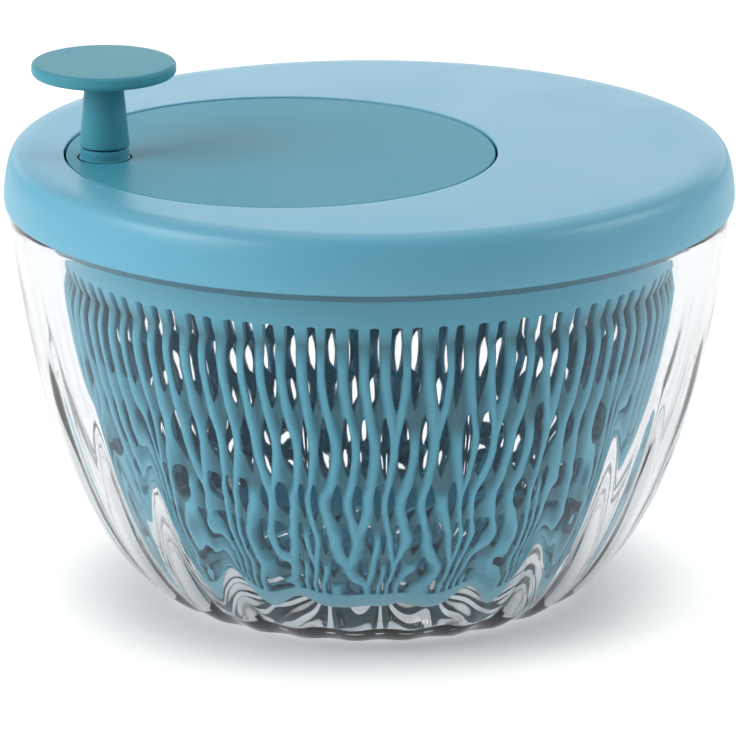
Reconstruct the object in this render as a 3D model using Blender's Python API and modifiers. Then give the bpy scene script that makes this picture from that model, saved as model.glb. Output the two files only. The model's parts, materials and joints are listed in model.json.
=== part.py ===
"""Salad spinner with a geared lid, in metres, +Z up, standing on the flat base of its bowl at z = 0.

A clear fluted bowl holds a slotted basket that turns on a pivot foot. The lid holds a crank disc, set off
centre, whose internal gear turns a pinion on the bowl's axis. The pinion carries a drive plate, which turns
the basket by lugs inside its rim.
"""

import math

import bmesh
import bpy
from mathutils import Matrix

# Fits, in metres.
GAP = 0.0003  # between faces that rest on each other
SINK = 0.0010  # how far joined shapes run into each other, and cutters past what they cut
RUNNING = 0.0004  # radial clearance of what turns in a bore

# Bowl.
RIM_RADIUS = 0.1386
RIM_Z = 0.1539
FOOT_RADIUS = 0.078
BOWL_WALL = 0.0040
BOWL_WALL_EXTRA = 0.0016  # added towards the floor
BOWL_FLOOR = 0.0050
BOWL_HEEL = 0.0365  # how far the side springs out of the foot
BOWL_FLARE = 0.0072  # how much the side still widens in its upper half
FLUTES = 26
FLUTE_DEPTH = 0.0022
FLUTE_DROP = 0.0359  # from the rim down to where the flutes fade out
CUP_WALL = 0.0022
CUP_HEIGHT = 0.0042

# Basket and the foot that it turns on.
BASKET_CLEARANCE = 0.0156  # from the bowl's inner wall, at the rim
BASKET_DROP = 0.0049  # from the bowl's rim down to the basket's
BASKET_FLOOR_INSET = 0.0160  # from the bowl's foot in to the edge of the basket's floor
BASKET_HEEL = 0.0286
BASKET_BELLY = 0.0019
BASKET_WALL = 0.0024
SUMP_HEIGHT = 0.0055  # under the basket's floor
BAND_HEIGHT = 0.0130
LOWER_BAND_HEIGHT = 0.0155
SLOT_COLUMNS = 32
SLOT_ROW_SHARES = (0.32, 0.27, 0.23, 0.18)  # of the slotted height, from the top row down
SLOT_SHARE = 0.62  # of half the pitch, from a slot's middle to its side
FLOOR_SLOT_SHARE = 0.55
FLOOR_SLOTS_FROM = 0.030
FLOOR_SLOTS_MARGIN = 0.008  # from the floor slots' outer ends to the floor's edge
FOOT_PIN_RADIUS = 0.0040
FOOT_PIN_LENGTH = 0.0070
FOOT_HEAD_RADIUS = 0.0080
HUB_WALL = 0.0034
LUGS = 6
LUG_WIDTH = 0.0050
LUG_DEPTH = 0.0050
LUG_HEIGHT = 0.0140
LUG_SIDE_PLAY = 0.0008
LUG_END_PLAY = 0.0012

# Lid.
LID_OVERHANG = 0.0014  # past the bowl's rim
LID_HEIGHT = 0.0204
LID_WALL = 0.0026
LID_FLAT_INSET = 0.0110  # from the widest radius in to where the top starts to fall
LID_FALL = 0.0014  # of the top, from its flat out to its corner
LID_CORNER_INSET = 0.0042
LID_SIDE_DRAFT = 0.0012
LID_TUCK = 0.0016  # of the lower edge
PLUG_CLEARANCE = 0.0008
PLUG_WALL = 0.0025
PLUG_DEPTH = 0.0041
BASE_PLATE = 0.0024
COLLAR_WALL = 0.0016
COLLAR_SET = 0.0005  # of the collar, outwards from the edge of the opening
COLLAR_DEPTH = 0.0110
LID_SCREWS = 6
LID_SCREW_INSET = 0.0150
LID_BOSS_RADIUS = 0.0042

# Crank disc and gears.
MODULE = 0.0015
RING_TEETH = 62
PINION_TEETH = 15
PRESSURE_ANGLE = math.radians(25)
BACKLASH = 0.00035
ADDENDUM = 0.8 * MODULE
DEDENDUM = 1.2 * MODULE
RING_RIM = 0.0030
WEB = 0.0025
DISC_MARGIN = 0.01095  # of flat lid outside the disc's opening, where it is narrowest
DISC_CLEARANCE = 0.0009
DISC_EDGE = 0.0008
DISC = 0.0028
DISC_RECESS = 0.0003
GEAR_BOSS_HEIGHT = 0.0034
GEAR_SCREWS = 3
GEAR_SCREW_MARGIN = 0.0009  # from the crank gear's shoulder to the heads of its screws
GEAR_BOSS_RADIUS = 0.0036
CRANK_JOURNAL_RADIUS = 0.0080
CRANK_SHOULDER = 0.0025
PINION_JOURNAL_RADIUS = 0.0060
BUSH_WALL = 0.0016
BUSH_FLANGE = 0.0010
BUSH_FLANGE_WIDTH = 0.0024
DRIVE_HEX_RADIUS = 0.0050
DRIVE_PLATE = 0.0025
DRIVE_LIP = 0.0026
DRIVE_CLEARANCE = 0.0018  # from the basket's inner wall
DRIVE_HUB_WALL = 0.0045
DRIVE_DROP = 0.0059  # from the lid's base plate down to the drive plate

# Knob.
KNOB_INSET = 0.0145  # from the disc's edge
KNOB_ANGLE = math.radians(170)
KNOB_RADIUS = 0.0275
KNOB_HEIGHT = 0.0373  # above the crank disc
KNOB_CAP = 0.0050
STEM_TOP_RADIUS = 0.0073
STEM_BASE_RADIUS = 0.0096
STEM_CHAMFER = 0.0006
SPIGOT_LENGTH = 0.0025  # of the cap, down inside the stem
KNOB_COLLAR_RADIUS = 0.0093
KNOB_COLLAR_HEIGHT = 0.0040
KNOB_COLLAR_FILLET = 0.0012
AXLE_RADIUS = 0.0030
AXLE_FLANGE_RADIUS = 0.0062
STEM_COUNTERBORE = 0.0052
STEM_COUNTERBORE_DEPTH = 0.0068
AXLE_PILOT = 0.0100

# Fasteners.
WASHER = 0.0009
SCREW_RADIUS = 0.0014
SCREW_HEAD_RADIUS = 0.0036
SCREW_HEAD = 0.0020
SCREW_REACH = 0.0080  # into what it holds
PILOT_CLEARANCE = 0.00035

# How finely round shapes are cut.
FINE, MEDIUM, COARSE = 48, 20, 8
HALF_STEP = math.pi / FINE  # turns the opening's corners off the lid's
SHARP_ANGLE = math.radians(35)

# Heights that follow from the sizes above.
SLEEVE = RUNNING + BUSH_WALL
BOWL_INNER_RIM = RIM_RADIUS - BOWL_WALL
LID_RADIUS = RIM_RADIUS + LID_OVERHANG
LID_EDGE_Z = RIM_Z + GAP
LID_TOP_Z = LID_EDGE_Z + LID_HEIGHT
PLATE_Z = LID_EDGE_Z + GAP
PLATE_TOP_Z = PLATE_Z + BASE_PLATE
FLANGE_TOP_Z = PLATE_TOP_Z + GAP + BUSH_FLANGE
GEAR_Z = FLANGE_TOP_Z + 0.001
DISC_TOP_Z = LID_TOP_Z - DISC_RECESS
DISC_Z = DISC_TOP_Z - DISC
WEB_TOP_Z = DISC_Z - GEAR_BOSS_HEIGHT
WEB_Z = WEB_TOP_Z - WEB
DRIVE_TOP_Z = PLATE_Z - DRIVE_DROP
DRIVE_Z = DRIVE_TOP_Z - DRIVE_PLATE
FLOOR_Z = BOWL_FLOOR + SUMP_HEIGHT
BASKET_TOP_Z = RIM_Z - BASKET_DROP
BASKET_FLOOR_RADIUS = FOOT_RADIUS - BASKET_FLOOR_INSET
BASKET_RADIUS = BOWL_INNER_RIM - BASKET_CLEARANCE
BASKET_INNER_RADIUS = BASKET_RADIUS - BASKET_WALL
FLUTE_TOP_Z = RIM_Z - FLUTE_DROP
GEAR_OFFSET = MODULE * (RING_TEETH - PINION_TEETH) / 2
OPENING_RADIUS = LID_RADIUS - LID_FLAT_INSET - DISC_MARGIN - GEAR_OFFSET
DISC_RADIUS = OPENING_RADIUS - DISC_CLEARANCE
KNOB_CIRCLE = DISC_RADIUS - KNOB_INSET
PILOT_RADIUS = SCREW_RADIUS + PILOT_CLEARANCE
SHOULDER_RADIUS = CRANK_JOURNAL_RADIUS + CRANK_SHOULDER
GEAR_SCREW_CIRCLE = SHOULDER_RADIUS + GEAR_SCREW_MARGIN + SCREW_HEAD_RADIUS
KNOB_X = KNOB_CIRCLE * math.cos(KNOB_ANGLE)
KNOB_Y = KNOB_CIRCLE * math.sin(KNOB_ANGLE)
COLLAR_TOP_Z = DISC_TOP_Z + KNOB_COLLAR_HEIGHT
SEAT_Z = DISC_TOP_Z - GAP
STEM_Z = COLLAR_TOP_Z + 2 * GAP
CAP_TOP_Z = DISC_TOP_Z + KNOB_HEIGHT
CAP_Z = CAP_TOP_Z - KNOB_CAP
STEM_TOP_Z = CAP_Z - GAP
SHOULDER_Z = STEM_TOP_Z - STEM_COUNTERBORE_DEPTH
AXLE_TOP_Z = SHOULDER_Z + GAP


def clear_scene():
    for obj in list(bpy.data.objects):
        bpy.data.objects.remove(obj)


def collection(name):
    made = bpy.data.collections.new(name)
    bpy.context.scene.collection.children.link(made)
    return made


def material(name, colour, roughness, metallic=0.0, transmission=0.0):
    made = bpy.data.materials.new(name)
    made.use_nodes = True
    shader = made.node_tree.nodes["Principled BSDF"]
    shader.inputs["Base Color"].default_value = (*colour, 1.0)
    shader.inputs["Roughness"].default_value = roughness
    shader.inputs["Metallic"].default_value = metallic
    shader.inputs["Transmission Weight"].default_value = transmission
    return made


clear_scene()
PARTS = collection("salad_spinner")
TOOLS = collection("cutters")
CLEAR = material("clear_acrylic", (0.95, 0.97, 0.97), 0.05, transmission=1.0)
SKY = material("sky_blue_plastic", (0.24, 0.51, 0.62), 0.35)
TEAL = material("teal_plastic", (0.14, 0.35, 0.42), 0.45)
BASKET_BLUE = material("basket_plastic", (0.20, 0.47, 0.56), 0.40)
ACETAL = material("white_acetal", (0.86, 0.86, 0.83), 0.35)
STEEL = material("steel", (0.62, 0.62, 0.63), 0.30, metallic=1.0)


def axis(name, parent=None, x=0.0, y=0.0):
    """An empty on a joint's axis, placed relative to its parent's axis."""
    made = bpy.data.objects.new(name, None)
    made.location = (x, y, 0.0)
    made.parent = parent
    PARTS.objects.link(made)
    return made


def piece(name, mesh, look, parent):
    """A named sub-part with its material, on its body's axis."""
    made = bpy.data.objects.new(name, mesh)
    made.data.materials.append(look)
    made.parent = parent
    PARTS.objects.link(made)
    return made


def tool(name, mesh, parent):
    """A shape that only cuts or joins another."""
    made = bpy.data.objects.new(name, mesh)
    made.parent = parent
    made.hide_render = True
    made.display_type = "WIRE"
    TOOLS.objects.link(made)
    return made


def profile_mesh(name, profile, closed):
    """A profile of (radius, height) points, as the wire that a Screw modifier turns."""
    mesh = bpy.data.meshes.new(name)
    count = len(profile)
    edges = [(i, i + 1) for i in range(count - 1)]
    if closed:
        edges.append((count - 1, 0))
    mesh.from_pydata([(r, 0.0, z) for r, z in profile], edges, [])
    return mesh


def turn(obj, steps):
    """Turns the object's profile about its own Z axis."""
    screw = obj.modifiers.new("turn", "SCREW")
    screw.steps = steps
    screw.render_steps = steps
    screw.use_merge_vertices = True
    screw.merge_threshold = 0.00001
    screw.use_smooth_shade = False
    return obj


def turned(name, profile, look, parent, steps=MEDIUM, closed=False):
    """A turned piece. An open profile starts and ends on the axis; a closed one is a ring."""
    return turn(piece(name, profile_mesh(name, profile, closed), look, parent), steps)


def turned_tool(name, profile, parent, steps=MEDIUM, closed=False):
    return turn(tool(name, profile_mesh(name, profile, closed), parent), steps)


def rod(radius, low, high):
    """The profile of a solid cylinder."""
    return [(0.0, high), (radius, high), (radius, low), (0.0, low)]


def tube(inner, outer, low, high):
    """The closed profile of a tube."""
    return [(inner, high), (outer, high), (outer, low), (inner, low)]


def boolean(obj, operation, other):
    modifier = obj.modifiers.new(operation.lower(), "BOOLEAN")
    modifier.operation = operation
    modifier.solver = "EXACT"
    modifier.object = other
    return obj


def made_mesh(obj):
    """The object's evaluated shape as a plain mesh, its doubled points welded."""
    bpy.context.view_layer.update()
    graph = bpy.context.evaluated_depsgraph_get()
    mesh = bpy.data.meshes.new_from_object(obj.evaluated_get(graph))
    shape = bmesh.new()
    shape.from_mesh(mesh)
    bmesh.ops.remove_doubles(shape, verts=shape.verts, dist=0.000001)
    shape.to_mesh(mesh)
    shape.free()
    return mesh


def prism_mesh(name, outlines, low, high):
    """Flat outlines, an outer one and any holes, as a prism between two heights."""
    curve = bpy.data.curves.new(name, "CURVE")
    curve.dimensions = "2D"
    curve.fill_mode = "BOTH"
    curve.extrude = (high - low) / 2
    for outline in outlines:
        spline = curve.splines.new("POLY")
        spline.points.add(len(outline) - 1)
        for point, (x, y) in zip(spline.points, outline):
            point.co = (x, y, 0.0, 1.0)
        spline.use_cyclic_u = True
    drawn = bpy.data.objects.new(name, curve)
    PARTS.objects.link(drawn)
    mesh = made_mesh(drawn)
    bpy.data.objects.remove(drawn)
    mesh.transform(Matrix.Translation((0.0, 0.0, (low + high) / 2)))
    return mesh


def shade(obj):
    """Keeps the object's evaluated shape, shaded smooth except at its corners."""
    mesh = made_mesh(obj)
    obj.modifiers.clear()
    obj.data = mesh
    mesh.shade_smooth()
    mesh.set_sharp_from_angle(angle=SHARP_ANGLE)


def circle(radius, steps, x=0.0, y=0.0, phase=0.0):
    """Points round a circle."""
    angles = [phase + 2 * math.pi * i / steps for i in range(steps)]
    return [(x + radius * math.cos(a), y + radius * math.sin(a)) for a in angles]


def rods_mesh(name, centres, radius, low, high, steps=8):
    """Upright cylinders at several centres, in one mesh."""
    return prism_mesh(name, [circle(radius, steps, x, y) for x, y in centres], low, high)


def tubes_mesh(name, centres, radii, low, high, steps=8):
    """Upright tubes at several centres, in one mesh."""
    outlines = [circle(radius, steps, x, y) for x, y in centres for radius in radii]
    return prism_mesh(name, outlines, low, high)


def spoke_blocks(name, count, inner, outer, width, low, high):
    """Blocks round the axis, each running outwards from one radius to another."""
    mesh = bpy.data.meshes.new(name)
    shape = bmesh.new()
    size = Matrix.Diagonal((outer - inner, width, high - low, 1.0))
    at = Matrix.Translation(((inner + outer) / 2, 0.0, (low + high) / 2))
    for i in range(count):
        spin = Matrix.Rotation(2 * math.pi * i / count, 4, "Z")
        bmesh.ops.create_cube(shape, size=1.0, matrix=spin @ at @ size)
    shape.to_mesh(mesh)
    shape.free()
    return mesh


def bezier(points, t):
    """The (radius, height) point at t on a cubic curve of four control points."""
    s = 1 - t
    weights = (s**3, 3 * s * s * t, 3 * s * t * t, t**3)
    return tuple(sum(w * p[k] for w, p in zip(weights, points)) for k in (0, 1))


# Bowl.

BOWL_SIDE = (
    (FOOT_RADIUS, 0.0),
    (FOOT_RADIUS + BOWL_HEEL, 0.12 * RIM_Z),
    (RIM_RADIUS - BOWL_FLARE, 0.55 * RIM_Z),
    (RIM_RADIUS, RIM_Z),
)
BOWL_LEVELS = (0.0, 0.10, 0.24, 0.40, 0.56, 0.72, 0.86, 1.0)


def bowl_wall_at(z):
    """The wall is thicker towards the floor, as moulded."""
    return BOWL_WALL + BOWL_WALL_EXTRA * (1 - z / RIM_Z) ** 2


def flute(radius_cut, angle, z):
    """How far a flute cuts into the outside of the bowl."""
    if z >= FLUTE_TOP_Z:
        return 0.0
    fade = math.sin(math.pi / 2 * (1 - z / FLUTE_TOP_Z)) ** 0.7
    return radius_cut * fade * (1 - math.cos(FLUTES * angle)) / 2


def make_bowl(parent):
    outside = [bezier(BOWL_SIDE, t) for t in BOWL_LEVELS]
    inside = [(r - bowl_wall_at(z), z) for r, z in outside if z > 2 * BOWL_FLOOR]
    cup_inner = FOOT_HEAD_RADIUS + RUNNING
    cup_outer = cup_inner + CUP_WALL
    profile = [(0.0, BOWL_FLOOR), (cup_inner, BOWL_FLOOR), (cup_inner, BOWL_FLOOR + CUP_HEIGHT)]
    profile += [(cup_outer, BOWL_FLOOR + CUP_HEIGHT), (cup_outer, BOWL_FLOOR)]
    profile += [(FOOT_RADIUS - 2 * SINK, BOWL_FLOOR)] + inside + outside[::-1] + [(0.0, 0.0)]
    turned_bowl = turned_tool("bowl_blank", profile, parent, steps=2 * FLUTES)
    mesh = made_mesh(turned_bowl)
    bpy.data.objects.remove(turned_bowl)
    for vertex in mesh.vertices:
        x, y, z = vertex.co
        radius = math.hypot(x, y)
        nearest = min(outside, key=lambda p: abs(p[1] - z))
        if radius > nearest[0] - BOWL_WALL / 2 and abs(nearest[1] - z) < 0.0001:
            cut = (radius - flute(FLUTE_DEPTH, math.atan2(y, x), z)) / radius
            vertex.co = (x * cut, y * cut, z)
    return piece("bowl", mesh, CLEAR, parent)


# Basket.

BASKET_SIDE = (
    (BASKET_FLOOR_RADIUS, FLOOR_Z),
    (BASKET_FLOOR_RADIUS + BASKET_HEEL, FLOOR_Z + 0.0015),
    (BASKET_RADIUS + BASKET_BELLY, FLOOR_Z + 0.57 * (BASKET_TOP_Z - FLOOR_Z)),
    (BASKET_RADIUS, BASKET_TOP_Z),
)


def basket_side_at(z):
    """The radius of the basket's outside at a height, found by halving."""
    low, high = 0.0, 1.0
    for _ in range(30):
        middle = (low + high) / 2
        if bezier(BASKET_SIDE, middle)[1] < z:
            low = middle
        else:
            high = middle
    return bezier(BASKET_SIDE, low)[0]


def ring_of_points(shape, radius, z, angles):
    return [shape.verts.new((radius * math.cos(a), radius * math.sin(a), z)) for a in angles]


def slotted_row(shape, lower, upper, phase, share):
    """Fills the band between two rings of points with ribs round pointed slots.

    Each ring has two points a column: one where a slot has its tip, one on the rib between slots. The phase
    says which comes first. A slot is widest half-way up.
    """
    count = len(lower)
    step = 2 * math.pi / count
    low, high = lower[0].co, upper[0].co
    radius = (math.hypot(low.x, low.y) + math.hypot(high.x, high.y)) / 2
    z = (low.z + high.z) / 2
    for i in range(phase, count + phase, 2):
        tip, rib_before, rib_after = i % count, (i - 1) % count, (i + 1) % count
        left, right = ring_of_points(shape, radius, z, (step * (i - share), step * (i + share)))
        shape.faces.new((lower[tip], left, upper[tip], upper[rib_before], lower[rib_before]))
        shape.faces.new((lower[tip], lower[rib_after], upper[rib_after], upper[tip], right))


def plain_row(shape, lower, upper):
    count = len(lower)
    for i in range(count):
        j = (i + 1) % count
        shape.faces.new((lower[i], lower[j], upper[j], upper[i]))


def make_basket(parent):
    """The basket's outside as an open lattice, thickened inwards, with its hub and lugs."""
    mesh = bpy.data.meshes.new("basket")
    shape = bmesh.new()
    angles = [math.pi * i / SLOT_COLUMNS for i in range(2 * SLOT_COLUMNS)]

    def ring(radius, z):
        return ring_of_points(shape, radius, z, angles)

    hub_radius = FOOT_PIN_RADIUS + RUNNING + HUB_WALL
    heart = ring(hub_radius - SINK, FLOOR_Z)
    inner = ring(FLOOR_SLOTS_FROM, FLOOR_Z)
    outer = ring(BASKET_FLOOR_RADIUS - FLOOR_SLOTS_MARGIN, FLOOR_Z)
    corner = ring(BASKET_FLOOR_RADIUS, FLOOR_Z)
    plain_row(shape, heart, inner)
    slotted_row(shape, inner, outer, 1, FLOOR_SLOT_SHARE)
    plain_row(shape, outer, corner)
    heights = [FLOOR_Z + LOWER_BAND_HEIGHT]
    slotted_height = BASKET_TOP_Z - BAND_HEIGHT - heights[0]
    for share in reversed(SLOT_ROW_SHARES):
        heights.append(heights[-1] + share * slotted_height)
    lowest = ring(basket_side_at(heights[0]), heights[0])
    plain_row(shape, corner, lowest)
    for row, height in enumerate(heights[1:]):
        upper = ring(basket_side_at(height), height)
        slotted_row(shape, lowest, upper, row % 2, SLOT_SHARE)
        lowest = upper
    plain_row(shape, lowest, ring(BASKET_RADIUS, BASKET_TOP_Z))
    shape.to_mesh(mesh)
    shape.free()
    basket = piece("basket", mesh, BASKET_BLUE, parent)
    wall = basket.modifiers.new("wall", "SOLIDIFY")
    wall.thickness = BASKET_WALL
    wall.offset = -1.0
    wall.use_even_offset = True
    bore = FOOT_PIN_RADIUS + RUNNING
    bore_top = FLOOR_Z + FOOT_PIN_LENGTH + GAP
    bottom = FLOOR_Z - GAP
    hub = [(0.0, bore_top + HUB_WALL), (hub_radius, bore_top + HUB_WALL), (hub_radius, bottom)]
    hub += [(bore, bottom), (bore, bore_top), (0.0, bore_top)]
    boolean(basket, "UNION", turned_tool("hub", hub, parent))
    lug_top = DRIVE_TOP_Z - GAP
    lugs = spoke_blocks("lugs", LUGS, BASKET_INNER_RADIUS - LUG_DEPTH, BASKET_INNER_RADIUS + BASKET_WALL / 2,
                        LUG_WIDTH, lug_top - LUG_HEIGHT, lug_top)
    boolean(basket, "UNION", tool("lugs", lugs, parent))
    return basket


def make_pivot_foot(parent):
    head_top = FLOOR_Z - 2 * GAP
    profile = [(0.0, FLOOR_Z + FOOT_PIN_LENGTH - GAP), (FOOT_PIN_RADIUS, FLOOR_Z + FOOT_PIN_LENGTH - GAP)]
    profile += [(FOOT_PIN_RADIUS, head_top), (FOOT_HEAD_RADIUS, head_top)]
    profile += [(FOOT_HEAD_RADIUS, BOWL_FLOOR + GAP), (0.0, BOWL_FLOOR + GAP)]
    return turned("pivot_foot", profile, ACETAL, parent, steps=16)


# Fasteners.


def screw(name, parent, x, y, head_z, tip_z, head_radius=SCREW_HEAD_RADIUS, radius=SCREW_RADIUS):
    """A pan-head screw on the line x, y, from its head's outer face to its tip, either way up."""
    under = head_z + math.copysign(SCREW_HEAD, tip_z - head_z)
    profile = [(0.0, tip_z), (radius, tip_z), (radius, under)]
    profile += [(head_radius, under), (head_radius, head_z), (0.0, head_z)]
    if tip_z < head_z:
        profile.reverse()
    made = turned(name, profile, STEEL, parent, steps=COARSE)
    made.location = (x, y, 0.0)
    return made


def washer(name, parent, outer, low, x=0.0, y=0.0):
    made = turned(name, tube(PILOT_RADIUS, outer, low, low + WASHER), STEEL, parent, steps=16, closed=True)
    made.location = (x, y, 0.0)
    return made


# Lid.


def lid_screw_places():
    radius = LID_RADIUS - LID_SCREW_INSET
    return circle(radius, LID_SCREWS, phase=math.pi / LID_SCREWS)


def lid_outline():
    """The lid's outside, from the flat of its top down: a slight fall, a corner and a steep side."""
    flat = LID_RADIUS - LID_FLAT_INSET
    corner = LID_RADIUS - LID_CORNER_INSET
    fall_z = LID_TOP_Z - LID_FALL
    corner_drop = 0.8 * (LID_CORNER_INSET - LID_SIDE_DRAFT)
    outline = [(flat, LID_TOP_Z), ((flat + corner) / 2, LID_TOP_Z - LID_FALL / 4), (corner, fall_z)]
    outline.append((LID_RADIUS - 1.6 * LID_SIDE_DRAFT, fall_z - corner_drop))
    outline.append((LID_RADIUS - LID_SIDE_DRAFT / 2, LID_TOP_Z - LID_HEIGHT / 2))
    outline.append((LID_RADIUS, LID_EDGE_Z + LID_TUCK))
    outline.append((LID_RADIUS - LID_TUCK, LID_EDGE_Z))
    return outline


def make_lid_cover(parent):
    """The top shell: a shouldered skirt, a round opening for the crank disc and bosses for the screws."""
    outside = lid_outline()
    under = LID_TOP_Z - LID_WALL
    inside = [(BOWL_INNER_RIM, LID_EDGE_Z), (LID_RADIUS - LID_WALL, LID_EDGE_Z + LID_TUCK)]
    inside += [(outside[3][0] - LID_WALL, outside[3][1] - LID_WALL / 2)]
    inside += [(outside[2][0] - LID_WALL / 2, outside[2][1] - LID_WALL), (outside[0][0], under), (0.0, under)]
    cover = turned("lid_cover", [(0.0, LID_TOP_Z)] + outside + inside, SKY, parent, steps=FINE)
    middle_z = LID_TOP_Z - LID_WALL / 2
    cut = rod(OPENING_RADIUS, LID_TOP_Z - 2 * LID_WALL, LID_TOP_Z + LID_WALL)
    hole = turned_tool("disc_opening", cut, parent, steps=FINE)
    hole.location.x = -GEAR_OFFSET
    hole.rotation_euler.z = HALF_STEP
    boolean(cover, "DIFFERENCE", hole)
    inner = OPENING_RADIUS + COLLAR_SET
    collar = tube(inner, inner + COLLAR_WALL, LID_TOP_Z - COLLAR_DEPTH, middle_z)
    well = turned_tool("collar", collar, parent, steps=FINE, closed=True)
    well.location.x = -GEAR_OFFSET
    boolean(cover, "UNION", well)
    radii = (LID_BOSS_RADIUS, PILOT_RADIUS)
    bosses = tubes_mesh("lid_bosses", lid_screw_places(), radii, PLATE_TOP_Z + GAP, middle_z)
    boolean(cover, "UNION", tool("lid_bosses", bosses, parent))
    return cover


def make_lid_base(parent):
    """The lower shell: the plate that carries both bushes and the wall that plugs into the bowl."""
    outer = BOWL_INNER_RIM - PLUG_CLEARANCE
    inner = outer - PLUG_WALL
    low, high = LID_EDGE_Z - PLUG_DEPTH, PLATE_TOP_Z + 0.003
    profile = [(0.0, PLATE_TOP_Z), (inner, PLATE_TOP_Z), (inner, high), (outer, high), (outer, low)]
    profile += [(inner, low), (inner, PLATE_Z), (0.0, PLATE_Z)]
    base = turned("lid_base", profile, SKY, parent, steps=FINE)
    below, above = PLATE_Z - 0.005, PLATE_TOP_Z + 0.005
    for name, x, radius in (("crank_bore", -GEAR_OFFSET, CRANK_JOURNAL_RADIUS),
                            ("pinion_bore", 0.0, PINION_JOURNAL_RADIUS)):
        bore = turned_tool(name, rod(radius + SLEEVE + GAP, below, above), parent)
        bore.location.x = x
        boolean(base, "DIFFERENCE", bore)
    holes = rods_mesh("screw_holes", lid_screw_places(), PILOT_RADIUS, below, above)
    boolean(base, "DIFFERENCE", tool("screw_holes", holes, parent))
    return base


def make_bush(name, parent, journal, x):
    """A flanged bush that sits in the lid's base plate round a journal."""
    inner = journal + RUNNING
    outer = journal + SLEEVE
    top = PLATE_TOP_Z + GAP
    profile = [(inner, FLANGE_TOP_Z), (outer + BUSH_FLANGE_WIDTH, FLANGE_TOP_Z)]
    profile += [(outer + BUSH_FLANGE_WIDTH, top), (outer, top), (outer, PLATE_Z), (inner, PLATE_Z)]
    bush = turned(name, profile, ACETAL, parent, closed=True)
    bush.location.x = x
    return bush


# Gears.


def involute(angle):
    return math.tan(angle) - angle


def flank_angle(radius, pitch_radius, width):
    """Half the angle, seen from the centre, that a tooth or a space of that width takes at a radius."""
    base_radius = pitch_radius * math.cos(PRESSURE_ANGLE)
    here = math.acos(min(1.0, base_radius / radius))
    return width / (2 * pitch_radius) + involute(PRESSURE_ANGLE) - involute(here)


def gear_outline(teeth, radii, width):
    """Round each tooth, or each space of an internal gear: up one flank and down the other."""
    pitch_radius = MODULE * teeth / 2
    outline = []
    for i in range(teeth):
        middle = 2 * math.pi * i / teeth
        up = [(r, -flank_angle(r, pitch_radius, width)) for r in radii]
        down = [(r, -a) for r, a in reversed(up)]
        outline += [(r * math.cos(middle + a), r * math.sin(middle + a)) for r, a in up + down]
    return outline


def make_pinion(parent):
    """The pinion, its journal, the hexagon that carries the drive plate and the hole for its screw."""
    pitch_radius = MODULE * PINION_TEETH / 2
    radii = (pitch_radius - DEDENDUM, pitch_radius, pitch_radius + ADDENDUM)
    width = math.pi * MODULE / 2 - BACKLASH / 2
    low, high = FLANGE_TOP_Z + GAP, WEB_Z - RUNNING
    pinion = piece("pinion", prism_mesh("pinion", [gear_outline(PINION_TEETH, radii, width)], low, high),
                   ACETAL, parent)
    hub_top = PLATE_Z - GAP
    journal = turned_tool("journal", rod(PINION_JOURNAL_RADIUS, hub_top + GAP, low + SINK), parent)
    boolean(pinion, "UNION", journal)
    tip = DRIVE_Z + GAP
    hexagon = prism_mesh("hexagon", [circle(DRIVE_HEX_RADIUS, 6)], tip, hub_top + SINK)
    boolean(pinion, "UNION", tool("hexagon", hexagon, parent))
    pilot = rods_mesh("pinion_pilot", [(0.0, 0.0)], PILOT_RADIUS, tip - SINK, low)
    boolean(pinion, "DIFFERENCE", tool("pinion_pilot", pilot, parent))
    return pinion


def make_crank_gear(parent):
    """The internal gear on its web, with the journal that turns in the lid's base."""
    pitch_radius = MODULE * RING_TEETH / 2
    root = pitch_radius + DEDENDUM
    rim = root + RING_RIM
    width = math.pi * MODULE / 2 + BACKLASH / 2
    spaces = gear_outline(RING_TEETH, (pitch_radius - ADDENDUM, root), width)
    teeth = prism_mesh("crank_gear", [circle(rim, FINE), spaces], GEAR_Z, WEB_Z + SINK / 2)
    gear = piece("crank_gear", teeth, ACETAL, parent)
    journal_end = PLATE_Z - GAP
    web = [(0.0, WEB_TOP_Z), (rim - SINK, WEB_TOP_Z), (rim - SINK, WEB_Z)]
    shoulder_z = FLANGE_TOP_Z + GAP
    web += [(SHOULDER_RADIUS, WEB_Z), (SHOULDER_RADIUS, shoulder_z)]
    web += [(CRANK_JOURNAL_RADIUS, shoulder_z), (CRANK_JOURNAL_RADIUS, journal_end), (0.0, journal_end)]
    boolean(gear, "UNION", turned_tool("web", web, parent, steps=MEDIUM))
    places = circle(GEAR_SCREW_CIRCLE, GEAR_SCREWS)
    holes = rods_mesh("gear_holes", places, PILOT_RADIUS, WEB_Z - SINK, WEB_TOP_Z + SINK)
    boolean(gear, "DIFFERENCE", tool("gear_holes", holes, parent))
    pilot = rods_mesh("crank_pilot", [(0.0, 0.0)], PILOT_RADIUS, journal_end - SINK, WEB_Z)
    boolean(gear, "DIFFERENCE", tool("crank_pilot", pilot, parent))
    return gear


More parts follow.
